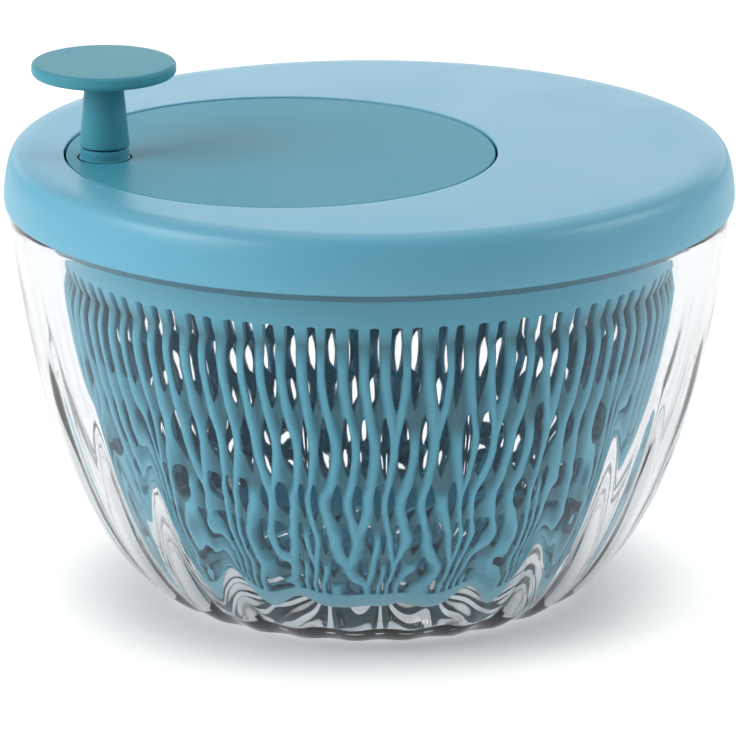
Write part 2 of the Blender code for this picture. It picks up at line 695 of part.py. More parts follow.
def make_crank_disc(parent):
    """The disc that shows in the lid, with the knob's collar above and the gear's bosses below."""
    profile = [(0.0, DISC_TOP_Z), (DISC_RADIUS - DISC_EDGE, DISC_TOP_Z)]
    profile += [(DISC_RADIUS, DISC_TOP_Z - DISC_EDGE), (DISC_RADIUS, DISC_Z), (0.0, DISC_Z)]
    disc = turned("crank_disc", profile, TEAL, parent, steps=FINE)
    sunk = DISC_TOP_Z - DISC / 2
    collar = [(0.0, COLLAR_TOP_Z), (KNOB_COLLAR_RADIUS, COLLAR_TOP_Z)]
    collar += [(KNOB_COLLAR_RADIUS, DISC_TOP_Z + KNOB_COLLAR_FILLET)]
    collar += [(KNOB_COLLAR_RADIUS + KNOB_COLLAR_FILLET, sunk), (0.0, sunk)]
    foot = turned_tool("knob_collar", collar, parent)
    foot.location = (KNOB_X, KNOB_Y, 0.0)
    boolean(disc, "UNION", foot)
    above, below = COLLAR_TOP_Z + DISC, DISC_Z - DISC
    seat = [(0.0, above), (AXLE_FLANGE_RADIUS + GAP, above)]
    seat += [(AXLE_FLANGE_RADIUS + GAP, SEAT_Z), (AXLE_RADIUS + GAP, SEAT_Z)]
    seat += [(AXLE_RADIUS + GAP, below), (0.0, below)]
    hole = turned_tool("axle_seat", seat, parent)
    hole.location = (KNOB_X, KNOB_Y, 0.0)
    boolean(disc, "DIFFERENCE", hole)
    places = circle(GEAR_SCREW_CIRCLE, GEAR_SCREWS)
    radii = (GEAR_BOSS_RADIUS, PILOT_RADIUS)
    bosses = tubes_mesh("gear_bosses", places, radii, WEB_TOP_Z + GAP, DISC_Z + SINK)
    boolean(disc, "UNION", tool("gear_bosses", bosses, parent))
    return disc


def make_drive_plate(parent):
    """The plate that closes the basket's mouth and turns it by the notches in its edge."""
    radius = BASKET_INNER_RADIUS - DRIVE_CLEARANCE
    hub_inner = DRIVE_HEX_RADIUS + RUNNING
    hub_outer = hub_inner + DRIVE_HUB_WALL
    hub_top = PLATE_Z - GAP
    profile = [(0.0, hub_top), (hub_outer, hub_top), (hub_outer, DRIVE_TOP_Z), (radius, DRIVE_TOP_Z)]
    profile += [(radius, DRIVE_Z - DRIVE_LIP), (radius - DRIVE_PLATE, DRIVE_Z - DRIVE_LIP)]
    profile += [(radius - DRIVE_PLATE, DRIVE_Z), (0.0, DRIVE_Z)]
    plate = turned("drive_plate", profile, BASKET_BLUE, parent, steps=FINE)
    below, above = DRIVE_Z - 0.01, hub_top + 0.005
    socket = prism_mesh("hex_socket", [circle(hub_inner, 6)], below, above)
    boolean(plate, "DIFFERENCE", tool("hex_socket", socket, parent))
    notch = BASKET_INNER_RADIUS - LUG_DEPTH - LUG_END_PLAY
    notches = spoke_blocks("notches", LUGS, notch, radius + 0.01, LUG_WIDTH + 2 * LUG_SIDE_PLAY, below, above)
    boolean(plate, "DIFFERENCE", tool("notches", notches, parent))
    return plate


# Knob.


def make_knob_axle(parent):
    """The fixed post that the knob turns on, flanged where it sits in the disc's collar."""
    flange_top = COLLAR_TOP_Z - GAP
    low = DISC_Z + GAP
    profile = [(0.0, AXLE_TOP_Z - AXLE_PILOT), (PILOT_RADIUS, AXLE_TOP_Z - AXLE_PILOT)]
    profile += [(PILOT_RADIUS, AXLE_TOP_Z), (AXLE_RADIUS, AXLE_TOP_Z), (AXLE_RADIUS, flange_top)]
    profile += [(AXLE_FLANGE_RADIUS, flange_top), (AXLE_FLANGE_RADIUS, SEAT_Z + GAP)]
    profile += [(AXLE_RADIUS, SEAT_Z + GAP), (AXLE_RADIUS, low), (PILOT_RADIUS, low)]
    profile += [(PILOT_RADIUS, low + AXLE_PILOT), (0.0, low + AXLE_PILOT)]
    axle = turned("knob_axle", profile, STEEL, parent, steps=COARSE)
    axle.location = (KNOB_X, KNOB_Y, 0.0)
    return axle


def make_knob_stem(parent):
    """The tapered grip under the cap, bored for its axle and open at the top for the washer and screw."""
    bore = AXLE_RADIUS + RUNNING
    profile = [(STEM_COUNTERBORE, STEM_TOP_Z), (STEM_TOP_RADIUS, STEM_TOP_Z)]
    profile += [(STEM_BASE_RADIUS, STEM_Z + STEM_CHAMFER), (STEM_BASE_RADIUS - STEM_CHAMFER, STEM_Z)]
    profile += [(bore, STEM_Z)]
    profile += [(bore, SHOULDER_Z), (STEM_COUNTERBORE, SHOULDER_Z)]
    return turned("knob_stem", profile, TEAL, parent, closed=True)


def make_knob_cap(parent):
    """The mushroom cap, with the spigot that closes the stem."""
    edge = KNOB_CAP * 0.4
    spigot = STEM_COUNTERBORE - GAP
    profile = [(0.0, CAP_TOP_Z), (KNOB_RADIUS - edge, CAP_TOP_Z)]
    profile += [(KNOB_RADIUS - edge * 0.3, CAP_TOP_Z - edge * 0.4)]
    profile += [(KNOB_RADIUS, CAP_TOP_Z - edge), (KNOB_RADIUS - edge * 0.4, CAP_Z + edge * 0.5)]
    spigot_z = STEM_TOP_Z - SPIGOT_LENGTH
    profile += [(KNOB_RADIUS - edge * 1.6, CAP_Z), (spigot, CAP_Z), (spigot, spigot_z), (0.0, spigot_z)]
    return turned("knob_cap", profile, TEAL, parent, steps=2 * MEDIUM)


def make_lid(parent):
    make_lid_cover(parent)
    make_lid_base(parent)
    make_bush("crank_bush", parent, CRANK_JOURNAL_RADIUS, -GEAR_OFFSET)
    make_bush("pinion_bush", parent, PINION_JOURNAL_RADIUS, 0.0)
    head_z = PLATE_Z - GAP - SCREW_HEAD
    for i, (x, y) in enumerate(lid_screw_places()):
        screw(f"lid_screw_{i + 1}", parent, x, y, head_z, LID_TOP_Z - 2 * LID_WALL - 2 * SINK)


def make_crank(parent):
    make_crank_disc(parent)
    make_crank_gear(parent)
    head_z = WEB_Z - GAP - SCREW_HEAD
    for i, (x, y) in enumerate(circle(GEAR_SCREW_CIRCLE, GEAR_SCREWS)):
        screw(f"gear_screw_{i + 1}", parent, x, y, head_z, DISC_Z - GAP)
    washer_z = PLATE_Z - 2 * GAP - WASHER
    washer("crank_washer", parent, CRANK_JOURNAL_RADIUS + SLEEVE + 0.002, washer_z)
    screw("crank_screw", parent, 0.0, 0.0, washer_z - GAP - SCREW_HEAD, washer_z + SCREW_REACH)
    make_knob_axle(parent)
    low = DISC_Z - GAP - SCREW_HEAD
    head_radius = AXLE_RADIUS + GAP + SCREW_RADIUS
    screw("knob_axle_screw", parent, KNOB_X, KNOB_Y, low, DISC_Z + SCREW_REACH, head_radius)
    knob_washer_z = AXLE_TOP_Z + GAP
    washer("knob_washer", parent, STEM_COUNTERBORE - RUNNING, knob_washer_z, KNOB_X, KNOB_Y)
    head_top = knob_washer_z + WASHER + GAP + SCREW_HEAD
    screw("knob_screw", parent, KNOB_X, KNOB_Y, head_top, AXLE_TOP_Z - SCREW_REACH)


def make_drive(parent):
    make_pinion(parent)
    make_drive_plate(parent)
    washer_z = DRIVE_Z - GAP - WASHER
    washer("drive_washer", parent, DRIVE_HEX_RADIUS + DRIVE_HUB_WALL, washer_z)
    screw("drive_screw", parent, 0.0, 0.0, washer_z - GAP - SCREW_HEAD, GEAR_Z - SINK)


def main():
    bowl_axis = axis("bowl_axis")
    lid_axis = axis("lid_axis", bowl_axis)
    crank_axis = axis("crank_axis", lid_axis, -GEAR_OFFSET)
    knob_axis = axis("knob_axis", crank_axis, KNOB_X, KNOB_Y)
    drive_axis = axis("drive_axis", lid_axis)
    pivot_axis = axis("pivot_axis", bowl_axis)
    basket_axis = axis("basket_axis", pivot_axis)
    make_bowl(bowl_axis)
    make_pivot_foot(pivot_axis)
    make_basket(basket_axis)
    make_lid(lid_axis)
    make_crank(crank_axis)
    make_knob_stem(knob_axis)
    make_knob_cap(knob_axis)
    make_drive(drive_axis)
    for obj in [obj for obj in PARTS.objects if obj.type == "MESH"]:
        shade(obj)


main()
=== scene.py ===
"""The looks of the salad spinner: materials, studio and the finely moulded bowl, basket, lid and knob.

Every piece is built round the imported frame. Sizes come from the frame's boxes and from the named values
below, in metres.
"""

import json
import math

import bmesh
import bpy
import numpy as np
from mathutils import Matrix, Vector


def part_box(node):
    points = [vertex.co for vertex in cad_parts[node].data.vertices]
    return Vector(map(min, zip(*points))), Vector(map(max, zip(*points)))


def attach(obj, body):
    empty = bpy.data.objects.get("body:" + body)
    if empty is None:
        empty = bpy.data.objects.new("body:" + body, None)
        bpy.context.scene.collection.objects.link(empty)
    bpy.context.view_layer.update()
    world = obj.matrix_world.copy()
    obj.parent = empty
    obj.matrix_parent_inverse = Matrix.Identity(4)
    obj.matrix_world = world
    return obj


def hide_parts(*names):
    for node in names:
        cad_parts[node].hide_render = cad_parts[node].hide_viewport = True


TAU = 2 * math.pi

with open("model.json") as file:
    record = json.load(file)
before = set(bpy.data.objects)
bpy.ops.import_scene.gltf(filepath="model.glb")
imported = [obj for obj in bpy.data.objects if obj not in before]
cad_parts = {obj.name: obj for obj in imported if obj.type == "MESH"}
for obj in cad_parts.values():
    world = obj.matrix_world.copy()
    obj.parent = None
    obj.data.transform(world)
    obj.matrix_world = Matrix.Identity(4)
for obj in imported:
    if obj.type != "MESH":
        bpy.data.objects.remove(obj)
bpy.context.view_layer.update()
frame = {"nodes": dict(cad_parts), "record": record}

# Camera: a long lens, a little above the lid. It and the lights are turned about the object's axis.
VIEW_TURN = math.radians(-16.8)
CAMERA_DISTANCE = 3.0
CAMERA_ELEVATION = math.radians(16.4)
CAMERA_LENS = 380.3
CAMERA_AIM = (-0.0005, 0.0, 0.0852)
CAMERA_REACH = 50.0


def turned_to_view(x, y, z=0.0):
    """A place given as seen from the front of the picture, in the frame's own axes."""
    c, s = math.cos(VIEW_TURN), math.sin(VIEW_TURN)
    return Vector((c * x - s * y, s * x + c * y, z))


# Materials.

FLOW_SCALE = 22.0
FLOW_DETAIL = 3.0
GRAIN_SCALE = 1400.0
GRAIN_DEPTH = 0.00004
GRAIN_STRENGTH = 0.35
RIPPLE_SCALE = 26.0
RIPPLE_DETAIL = 1.5
RIPPLE_DEPTH = 0.0012
RIPPLE_STRENGTH = 0.08
MARKS_SCALE = 900.0
MARKS_DEPTH = 0.00003
MARKS_STRENGTH = 0.2
FINE_DETAIL = 2.0
PLASTIC_GLOSS_SPREAD = (-0.05, 0.07)  # round a material's own roughness
STEEL_GLOSS_SPREAD = (-0.08, 0.12)
CLEAR_BASE = (0.965, 0.97, 0.975)
CLEAR_ROUGHNESS = 0.02
CLEAR_GLINT = (0.2, 0.2, 0.2, 1.0)
CLEAR_IOR = 1.49
CLEAR_DENSITY = 34.0
CLEAR_HAZE = (0.55, 0.57, 0.58, 1.0)
LID_COLOUR = (0.120, 0.37, 0.50)
DISC_COLOUR = (0.055, 0.275, 0.36)
KNOB_COLOUR = (0.055, 0.265, 0.335)
BASKET_COLOUR = (0.20, 0.70, 0.91)
# painted shade: share of the basket's colour left in its deepest recesses
BASKET_HOLLOW_SHADE = 0.40
ACETAL_COLOUR = (0.80, 0.79, 0.74)
BUSH_COLOUR = (0.74, 0.73, 0.68)
TURNED_STEEL_COLOUR = (0.60, 0.60, 0.61)
PLATED_STEEL_COLOUR = (0.62, 0.62, 0.64)


def principled(name, base, roughness, metallic=0.0, specular=0.5):
    """A new material and its main shader."""
    made = bpy.data.materials.new(name)
    made.use_nodes = True
    shader = made.node_tree.nodes["Principled BSDF"]
    shader.inputs["Base Color"].default_value = (*base, 1.0)
    shader.inputs["Roughness"].default_value = roughness
    shader.inputs["Metallic"].default_value = metallic
    shader.inputs["Specular IOR Level"].default_value = specular
    return made, shader


def add_node(owner, kind, operation=None, **inputs):
    """A new node in a material or the world, with its operation and named inputs set."""
    made = owner.node_tree.nodes.new(kind)
    if operation:
        made.operation = operation
    for name, value in inputs.items():
        made.inputs[name.replace("_", " ")].default_value = value
    return made


def link(owner, source, output, target, socket):
    owner.node_tree.links.new(source.outputs[output], target.inputs[socket])


def add_range(owner, source, output, low, high, **inputs):
    """A node that spreads another's output, from 0 to 1 unless stated, over low to high."""
    made = add_node(owner, "ShaderNodeMapRange", To_Min=low, To_Max=high, **inputs)
    link(owner, source, output, made, "Value")
    return made


def add_product(owner, first, second):
    """A node that multiplies two nodes' first outputs."""
    made = add_node(owner, "ShaderNodeMath", "MULTIPLY")
    link(owner, first, 0, made, 0)
    link(owner, second, 0, made, 1)
    return made


def add_shade(owner, colour, source, target, socket):
    """Puts a colour, scaled by a node's first output, into a socket."""
    made = add_node(owner, "ShaderNodeVectorMath", "SCALE")
    made.inputs[0].default_value = colour
    link(owner, source, 0, made, "Scale")
    link(owner, made, "Vector", target, socket)


def add_noise(owner, place, scale, detail):
    made = add_node(owner, "ShaderNodeTexNoise", Scale=scale, Detail=detail)
    link(owner, place, "Object", made, "Vector")
    return made


def add_bump(owner, noise, shader, strength, depth):
    """Gives a shader's surface the relief of a noise."""
    made = add_node(owner, "ShaderNodeBump", Strength=strength, Distance=depth)
    link(owner, noise, "Fac", made, "Height")
    link(owner, made, "Normal", shader, "Normal")


def add_gloss(owner, noise, shader, roughness, spread):
    """Makes a shader's roughness uneven."""
    made = add_range(owner, noise, "Fac", roughness + spread[0], roughness + spread[1])
    link(owner, made, "Result", shader, "Roughness")


def moulded_plastic(name, base, roughness, mottle=0.03, specular=0.5, hollow_shade=1.0):
    """Satin moulded plastic: a fine spark-eroded grain, slightly uneven gloss and a faint flow mottle.

    Where the mesh's "hollow" value is 1 the colour is dimmed to the share given in the last argument: painted
    shade that darkens recesses.
    """
    made, shader = principled(name, base, roughness, specular=specular)
    place = add_node(made, "ShaderNodeTexCoord")
    flow = add_noise(made, place, FLOW_SCALE, FLOW_DETAIL)
    tone = add_range(made, flow, "Fac", 1 - mottle, 1 + mottle)
    # Painted shade: the colour is darkened where the mesh is sunk.
    deep = add_node(made, "ShaderNodeAttribute")
    deep.attribute_name = "hollow"
    dim = add_range(made, deep, "Fac", 1.0, hollow_shade)
    add_shade(made, base, add_product(made, tone, dim), shader, "Base Color")
    add_gloss(made, flow, shader, roughness, PLASTIC_GLOSS_SPREAD)
    grain = add_noise(made, place, GRAIN_SCALE, FINE_DETAIL)
    add_bump(made, grain, shader, GRAIN_STRENGTH, GRAIN_DEPTH)
    return made


def clear_plastic(name):
    """Thick clear plastic with slow ripples from moulding."""
    made, shader = principled(name, CLEAR_BASE, CLEAR_ROUGHNESS)
    shader.inputs["Specular Tint"].default_value = CLEAR_GLINT
    shader.inputs["Transmission Weight"].default_value = 1.0
    shader.inputs["IOR"].default_value = CLEAR_IOR
    place = add_node(made, "ShaderNodeTexCoord")
    ripple = add_noise(made, place, RIPPLE_SCALE, RIPPLE_DETAIL)
    add_bump(made, ripple, shader, RIPPLE_STRENGTH, RIPPLE_DEPTH)
    haze = add_node(made, "ShaderNodeVolumeAbsorption", Density=CLEAR_DENSITY, Color=CLEAR_HAZE)
    link(made, haze, "Volume", made.node_tree.nodes["Material Output"], "Volume")
    return made


def steel(name, base, roughness):
    """Steel with fine marks and an uneven gloss."""
    made, shader = principled(name, base, roughness, metallic=1.0)
    place = add_node(made, "ShaderNodeTexCoord")
    marks = add_noise(made, place, MARKS_SCALE, FINE_DETAIL)
    add_gloss(made, marks, shader, roughness, STEEL_GLOSS_SPREAD)
    add_bump(made, marks, shader, MARKS_STRENGTH, MARKS_DEPTH)
    return made


LOOKS = {
    "bowl": clear_plastic("clear bowl plastic"),
    "lid": moulded_plastic("sky lid plastic", LID_COLOUR, 0.36, specular=0.36),
    "crank_disc": moulded_plastic("teal disc plastic", DISC_COLOUR, 0.44, specular=0.12),
    "knob": moulded_plastic("teal knob plastic", KNOB_COLOUR, 0.40, specular=0.15),
    # the basket's recesses get painted shade
    "basket": moulded_plastic("basket plastic", BASKET_COLOUR, 0.38, mottle=0.05, hollow_shade=BASKET_HOLLOW_SHADE),
    "drive_plate": moulded_plastic("drive plate plastic", BASKET_COLOUR, 0.42, mottle=0.05),
    "gears": moulded_plastic("gear acetal", ACETAL_COLOUR, 0.38),
    "bushes": moulded_plastic("bush acetal", BUSH_COLOUR, 0.42),
    "pivot_foot": moulded_plastic("foot acetal", ACETAL_COLOUR, 0.35),
    "axle": steel("turned steel", TURNED_STEEL_COLOUR, 0.28),
    "fasteners": steel("plated steel", PLATED_STEEL_COLOUR, 0.34),
}


# Shared ways to make pieces.

CRISP, SOFT, SOFTER = 32.0, 40.0, 50.0  # degrees between two faces above which their edge stays sharp
NO_RADIUS = 1e-7
SIDE_STEPS = 400


def smooth(obj, degrees=CRISP):
    obj.data.shade_smooth()
    obj.data.set_sharp_from_angle(angle=math.radians(degrees))


def finish_cad_nodes():
    """Gives each CAD node that stays in view its material and smooth shading."""
    slots = {row["node"]: row["material_slot"] for row in frame["record"]["subparts"]}
    for name, obj in frame["nodes"].items():
        obj.data.materials.clear()
        obj.data.materials.append(LOOKS[slots[name]])
        smooth(obj)


def new_piece(name, mesh, slot, body, *nodes):
    """A piece of the object in its slot's material, riding on a body and standing for CAD nodes."""
    made = bpy.data.objects.new(name, mesh)
    bpy.context.scene.collection.objects.link(made)
    mesh.materials.append(LOOKS[slot])
    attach(made, body)
    if nodes:
        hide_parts(*nodes)
    return made


def ring(shape, radius, z, steps, x=0.0, y=0.0):
    """A level ring of points, or one point if it has no radius."""
    if radius < NO_RADIUS:
        return [shape.verts.new((x, y, z))]
    angles = [TAU * i / steps for i in range(steps)]
    return [shape.verts.new((x + radius * math.cos(a), y + radius * math.sin(a), z)) for a in angles]


def bridge(shape, upper, lower):
    """Faces between two rings; either may be a single point."""
    count = max(len(upper), len(lower))
    for i in range(count):
        j = (i + 1) % count
        corners = [upper[i % len(upper)], lower[i % len(lower)], lower[j % len(lower)], upper[j % len(upper)]]
        unique = list(dict.fromkeys(corners))
        if len(unique) > 2:
            shape.faces.new(unique)


def mesh_of(shape, name):
    mesh = bpy.data.meshes.new(name)
    shape.to_mesh(mesh)
    shape.free()
    return mesh


def turned_mesh(name, profile, steps, x=0.0, y=0.0, closed=False):
    """A profile of (radius, height) points turned about an upright axis through x, y.

    An open profile starts and ends on the axis. Its outside must run downwards.
    """
    shape = bmesh.new()
    rings = [ring(shape, radius, z, steps, x, y) for radius, z in profile]
    for upper, lower in zip(rings, rings[1:]):
        bridge(shape, upper, lower)
    if closed:
        bridge(shape, rings[-1], rings[0])
    return mesh_of(shape, name)


def softened(points, times=2):
    """A line of points with its corners cut, a quarter from each, keeping its ends."""
    for _ in range(times):
        new = [points[0]]
        for (r0, z0), (r1, z1) in zip(points, points[1:]):
            new.append((0.75 * r0 + 0.25 * r1, 0.75 * z0 + 0.25 * z1))
            new.append((0.25 * r0 + 0.75 * r1, 0.25 * z0 + 0.75 * z1))
        points = new + [points[-1]]
    return points


def arc(centre, radius, start, end, count):
    """Points on an arc in the (radius, height) plane, between two angles in degrees."""
    angles = [math.radians(start + (end - start) * i / (count - 1)) for i in range(count)]
    return [(centre[0] + radius * math.cos(a), centre[1] + radius * math.sin(a)) for a in angles]


def bezier(points, t):
    """The (radius, height) point at t on a cubic curve of four control points."""
    s = 1 - t
    weights = (s**3, 3 * s * s * t, 3 * s * t * t, t**3)
    return tuple(sum(w * p[k] for w, p in zip(weights, points)) for k in (0, 1))


def side_table(curve):
    """Heights and radii along a rising cubic side."""
    points = [bezier(curve, i / SIDE_STEPS) for i in range(SIDE_STEPS + 1)]
    return [p[1] for p in points], [p[0] for p in points]


def side_at(table, z):
    """The radius of a side at a height."""
    return float(np.interp(z, *table))


def smoothstep(x):
    x = min(1.0, max(0.0, x))
    return x * x * (3 - 2 * x)


# Bowl: a turned wall whose lower half is cut by soft flutes.

_, BOWL_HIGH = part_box("bowl")
RIM_RADIUS = BOWL_HIGH.x
RIM_Z = BOWL_HIGH.z
RIM_CORNER = 0.0006
RIM_CORNER_POINTS = 4
BOWL_FLOOR = 0.0050
FOOT_RADIUS = 0.078
FOOT_EDGE = ((FOOT_RADIUS - 0.0008, 0.0003), (FOOT_RADIUS - 0.0025, 0.0))
FLOOR_CORNER = ((FOOT_RADIUS - 0.012, BOWL_FLOOR), (FOOT_RADIUS - 0.005, BOWL_FLOOR + 0.0002))
BOWL_WALL = 0.0040
BOWL_WALL_EXTRA = 0.0016  # at the foot, fading out towards the rim
BOWL_LEVELS = 72
BOWL_CROWDING = 1.15  # above 1 the levels crowd towards the foot
BOWL_INSIDE_FROM = 0.0065  # height above which the inside follows the outside
BOWL_SIDE = (
    (FOOT_RADIUS, 0.0),
    (FOOT_RADIUS + 0.0365, 0.12 * RIM_Z),
    (RIM_RADIUS - 0.0072, 0.55 * RIM_Z),
    (RIM_RADIUS, RIM_Z),
)
BOWL_TABLE = side_table(BOWL_SIDE)
FLUTES = 26
FLUTE_STEPS = 16
FLUTE_DEPTH = 0.0020
FLUTE_TOP = 0.116
SHORT_FLUTE_SHARE = 0.86
FLUTE_FADE_RATE = 1.15
FLUTE_FADE_POWER = 0.8
FLUTE_TIP_WIDTH = 0.35  # of its width at the foot
FLUTES_FROM = FOOT_RADIUS - 0.006
CUP_INNER = 0.0084
CUP_OUTER = 0.0106
CUP_TOP = BOWL_FLOOR + 0.0042
CUP_CORNER = 0.0004
CUP_FILLET = 0.0006


def flute_depth(angle, z):
    """How far in the bowl's outside is pressed: soft scallops that meet in ridges and fade out upwards.

    Every other flute reaches a little higher.
    """
    turn = angle * FLUTES / TAU
    across = turn - math.floor(turn)
    tall = FLUTE_TOP * (1.0 if math.floor(turn) % 2 else SHORT_FLUTE_SHARE)
    if z >= tall:
        return 0.0
    fade = smoothstep((1 - z / tall) * FLUTE_FADE_RATE) ** FLUTE_FADE_POWER
    width = FLUTE_TIP_WIDTH + (1 - FLUTE_TIP_WIDTH) * fade
    from_middle = abs(2 * across - 1) / width
    if from_middle >= 1:
        return 0.0
    return FLUTE_DEPTH * fade * (math.cos(math.pi * from_middle) + 1) / 2


def press_flutes(mesh):
    """Moves the points of the bowl's outside in by the flutes' depth."""
    for vertex in mesh.vertices:
        x, y, z = vertex.co
        radius = math.hypot(x, y)
        if radius < FLUTES_FROM or radius < side_at(BOWL_TABLE, z) - BOWL_WALL / 2:
            continue
        cut = (radius - flute_depth(math.atan2(y, x) % TAU, z)) / radius
        vertex.co = (x * cut, y * cut, z)


def make_bowl():
    """The bowl: floor with its raised cup, inside, rim, outside and foot in one turned profile."""
    outside = [bezier(BOWL_SIDE, (i / BOWL_LEVELS) ** BOWL_CROWDING) for i in range(BOWL_LEVELS)]
    corner_z = RIM_Z - RIM_CORNER
    outside = [(r, z) for r, z in outside if z < corner_z]
    rim = arc((RIM_RADIUS - RIM_CORNER, corner_z), RIM_CORNER, 0, 90, RIM_CORNER_POINTS)
    rim += arc((RIM_RADIUS - BOWL_WALL + RIM_CORNER, corner_z), RIM_CORNER, 90, 180, RIM_CORNER_POINTS)
    inside = []
    for r, z in outside[::2]:
        if z > BOWL_INSIDE_FROM:
            inside.append((r - BOWL_WALL - BOWL_WALL_EXTRA * (1 - z / RIM_Z) ** 2, z))
    profile = [(0.0, BOWL_FLOOR), (CUP_INNER, BOWL_FLOOR), (CUP_INNER, CUP_TOP - CUP_CORNER)]
    profile += [(CUP_INNER + CUP_CORNER, CUP_TOP), (CUP_OUTER - CUP_CORNER, CUP_TOP)]
    profile += [(CUP_OUTER, CUP_TOP - CUP_CORNER), (CUP_OUTER, BOWL_FLOOR + CUP_FILLET)]
    profile += [(CUP_OUTER + CUP_FILLET, BOWL_FLOOR), *FLOOR_CORNER]
    profile += inside + rim[::-1] + outside[:0:-1] + [*FOOT_EDGE, (0.0, 0.0)]
    mesh = turned_mesh("bowl_clear", profile, FLUTES * FLUTE_STEPS)
    press_flutes(mesh)
    smooth(new_piece("bowl_clear", mesh, "bowl", "bowl", "bowl"), SOFT)


# Basket: a lattice of raised strands round pointed slots. Angles in it are counted in pitches, one a column.

BASKET_LOW, BASKET_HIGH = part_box("basket")
BASKET_RADIUS = BASKET_HIGH.x
BASKET_TOP = BASKET_HIGH.z
BASKET_WALL = 0.0030
FLOOR_Z = BASKET_LOW.z + 0.0003
FLOOR_RADIUS = 0.062
BASKET_SIDE = (
    (FLOOR_RADIUS, FLOOR_Z),
    (FLOOR_RADIUS + 0.0286, FLOOR_Z + 0.0015),
    (BASKET_RADIUS + 0.0019, FLOOR_Z + 0.57 * (BASKET_TOP - FLOOR_Z)),
    (BASKET_RADIUS, BASKET_TOP),
)
BASKET_TABLE = side_table(BASKET_SIDE)
ROW_EDGES = (0.1360, 0.1007, 0.0719, 0.0542, 0.0384, 0.0279, 0.0203)  # heights, from the top down
ROWS = len(ROW_EDGES) - 1
COLUMNS = 92
ACROSS = 8  # faces across a rib
ALONG = 10  # faces along a row
STRAND_HEIGHT = 0.0029
STRAND_HALF_WIDTH = 0.35
STRAND_ROUNDNESS = 0.75
STRAND_LEAN = 0.22
STRAND_REACH = 0.45  # how far from its middle a strand can be met
STRAND_TURN = 0.45  # share of a row, at each end, in which strands lean
SLOT_HALF_WIDTHS = (0.26, 0.24, 0.21, 0.17, 0.15, 0.14)
SLOT_FULLNESS = 0.95
TOP_ROW_SHIFT = 0.88  # steps by which the top row's slots are drawn up to the band
TOP_ROW_WIDTH = 0.92  # of its full width, at a top-row slot's blunt upper end
TOP_STRANDS_FROM = 0.15
TOP_STRANDS_RISE = 0.3
BAND_FADE = 0.3
SHIFT_RANGE = 0.11
WIDTH_RANGE = (0.86, 1.12)
LEAN_WAVES = 2
LEAN_STEP = 0.37
LEAN_CHANCE = 1.1
BAND_RINGS = (  # how far in from the side, and the height
    (0.0, ROW_EDGES[0] + 0.001),
    (0.0, BASKET_TOP - 0.004),
    (0.0, BASKET_TOP - 0.0008),
    (0.0008, BASKET_TOP),
)
CORNER_HEIGHTS = (0.0180, 0.0150, 0.0125, 0.0112)
FLOOR_SLOTS = 16
FLOOR_SLOTS_FROM = 0.030
FLOOR_SLOTS_TO = 0.054
FLOOR_SLOT_SHARE = 0.55
HUB_RADIUS = 0.0078
HUB_TOP = 0.0212
HUB_CORNER = 0.0010
HUB_FOOT = 0.003
LUGS = 6
LUG_TOP = BASKET_TOP - 0.0007
LUG_SIZE = (0.0060, 0.0050, 0.0140)
LUG_REACH = 0.0050  # inwards from the basket's wall
LUG_EDGE = 0.0007


def lattice_layout():
    """Repeatable unevenness: each slot's sideways shift and width, and which way each strand runs on."""
    rng = np.random.default_rng(7)
    shift = rng.uniform(-SHIFT_RANGE, SHIFT_RANGE, (ROWS, COLUMNS))
    width = rng.uniform(*WIDTH_RANGE, (ROWS, COLUMNS))
    lean = np.zeros((ROWS, COLUMNS), int)
    for row in range(ROWS):
        for column in range(COLUMNS):
            wave = math.sin(TAU * (LEAN_WAVES * column / COLUMNS + LEAN_STEP * row))
            lean[row, column] = 1 if wave + rng.uniform(-LEAN_CHANCE, LEAN_CHANCE) > 0 else -1
    return shift, width, lean


def strand_height(distance):
    """The height, from 0 to 1, of a rounded strand at a distance, in pitches, from its middle."""
    x = abs(distance) / STRAND_HALF_WIDTH
    return 0.0 if x >= 1 else (1 - x * x) ** STRAND_ROUNDNESS


def highest(distances):
    """The height where several strands may meet."""
    return max((strand_height(distance) for distance in distances), default=0.0)


def rib_height(row, t, place, incoming, outgoing):
    """The height at a place, in pitches from a rib's middle, a share t of the way down its row.

    Strands come in from above at the incoming places, merge, and leave as one at the outgoing place.
    """
    if t > 0.5:
        height = strand_height(place - outgoing * smoothstep((t - 1 + STRAND_TURN) / STRAND_TURN))
    elif incoming:
        run = 1 - smoothstep(t / STRAND_TURN)
        height = highest([place - way * run for way in incoming])
    else:
        height = smoothstep((t - TOP_STRANDS_FROM) / TOP_STRANDS_RISE) * strand_height(place)
    if row == 0:
        height = max(height, 1 - smoothstep(t / BAND_FADE))
    return height


